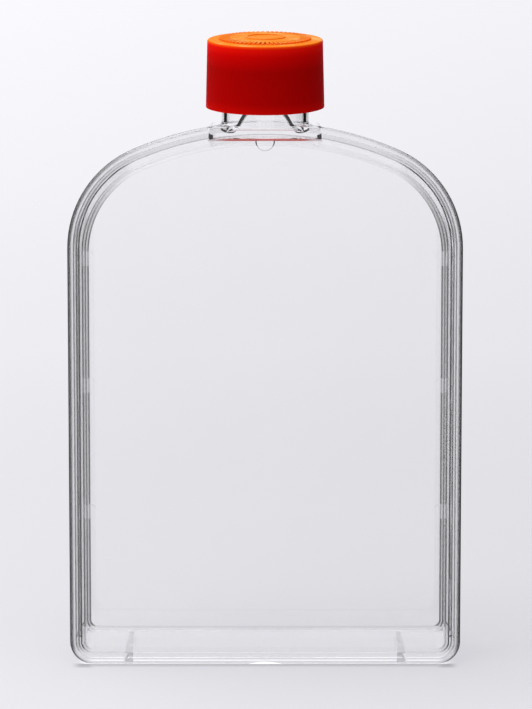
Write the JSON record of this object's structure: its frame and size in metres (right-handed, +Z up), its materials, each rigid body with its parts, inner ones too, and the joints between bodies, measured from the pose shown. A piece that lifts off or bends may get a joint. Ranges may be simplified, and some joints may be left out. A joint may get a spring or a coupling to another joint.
{
  "type": "cell culture flask",
  "caption": "Flat clear plastic tissue culture flask with arched shoulders, standing on its foot, with a short neck leaning to one side and an orange vented screw cap.",
  "frame": {"origin": "bottom centre of the box around the whole flask, on the surface that its foot stands on", "axes": "+Z up from the foot to the cap, +Y from the lid to the growth surface, +X across the width to complete a right-handed frame"},
  "size_m": [0.1204, 0.0476, 0.1942],
  "materials": {
    "clear_shell": "clear moulded polystyrene, polished mould finish",
    "clear_plate": "clear moulded polystyrene, polished mould finish",
    "cap_plastic": "orange-red moulded polyethylene, satin",
    "filter": "white hydrophobic filter membrane"
  },
  "bodies": {
    "flask": {"culture_tray": "clear_shell", "lid_plate": "clear_plate"},
    "membrane": {"vent_membrane": "filter"},
    "cap": {"vent_cap": "cap_plastic"}
  },
  "joints": [
    {"name": "cap_lift", "type": "slide", "parent": "flask", "child": "membrane", "axis": [0, -0.0872, 0.9962], "range_m": [0, 0.045]},
    {"name": "cap_turn", "type": "hinge", "parent": "membrane", "child": "cap", "pos_m": [0, -0.00405, 0.1663], "axis": [0, -0.0872, 0.9962], "range_deg": [0, 450]}
  ]
}
